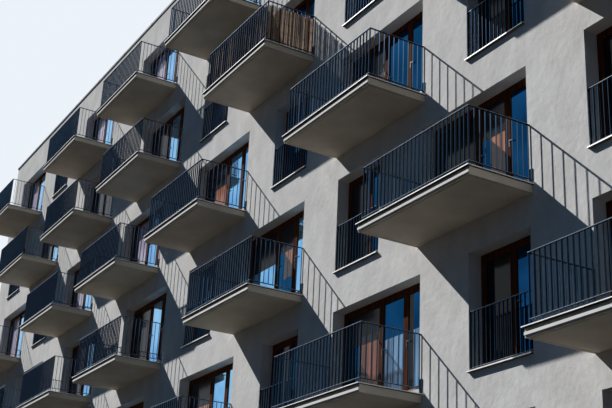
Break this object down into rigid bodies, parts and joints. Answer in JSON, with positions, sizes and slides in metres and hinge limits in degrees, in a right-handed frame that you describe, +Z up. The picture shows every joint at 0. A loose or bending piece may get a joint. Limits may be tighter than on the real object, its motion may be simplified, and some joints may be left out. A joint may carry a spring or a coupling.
{
  "type": "apartment block",
  "caption": "Long flat-roofed residential block with projecting balconies in shifted rows, vertical-bar railings, deep-set balcony doors and tall guarded windows.",
  "frame": {"origin": "centre of the plan's bounding box, at ground level", "axes": "+X along the front, to the right for a viewer facing it; +Y from the balcony front towards the back; +Z up"},
  "size_m": [39.71, 14.24, 21.93],
  "materials": {
    "render": "light warm-grey mineral render, fine vertical drag marks, matte",
    "plinth": "darker grey plinth render, matte",
    "concrete": "smooth painted concrete, warm grey, matte",
    "inner_concrete": "plain cast concrete, matte",
    "roofing": "grey mineral roofing felt, matte",
    "coping": "anthracite coated sheet, satin",
    "railing": "anthracite powder coat, satin",
    "bright_sheet": "bright folded sheet, satin",
    "deck": "grey coated deck with bright folded sheet edge",
    "window_unit": "dark reflecting glass in red-brown stained timber frames",
    "screen_slats": "brown split-reed slats, dry"
  },
  "bodies": {
    "root": {"back_coping": "coping", "back_glazing": "window_unit", "back_parapet": "render", "back_piers": "render", "back_plinth": "plinth", "back_sills": "bright_sheet", "back_spandrels": "render", "back_window_guards": "railing", "balcony_decks": "deck", "balcony_screen": "screen_slats", "balcony_slabs_storey_1": "concrete", "balcony_slabs_storey_2": "concrete", "balcony_slabs_storey_3": "concrete", "balcony_slabs_storey_4": "concrete", "balcony_slabs_storey_5": "concrete", "balcony_slabs_storey_6": "concrete", "door_thresholds": "bright_sheet", "end_copings": "coping", "front_coping": "coping", "front_glazing": "window_unit", "front_parapet": "render", "front_piers": "render", "front_plinth": "plinth", "front_sills": "bright_sheet", "front_spandrels": "render", "front_window_guards": "railing", "ground_floor": "inner_concrete", "left_end_wall": "render", "railing_fronts_storey_1": "railing", "railing_fronts_storey_2": "railing", "railing_fronts_storey_3": "railing", "railing_fronts_storey_4": "railing", "railing_fronts_storey_5": "railing", "railing_fronts_storey_6": "railing", "railing_sides_storey_1": "railing", "railing_sides_storey_2": "railing", "railing_sides_storey_3": "railing", "railing_sides_storey_4": "railing", "railing_sides_storey_5": "railing", "railing_sides_storey_6": "railing", "right_end_wall": "render", "roof_slab": "roofing", "upper_floors": "inner_concrete"}
  },
  "joints": []
}
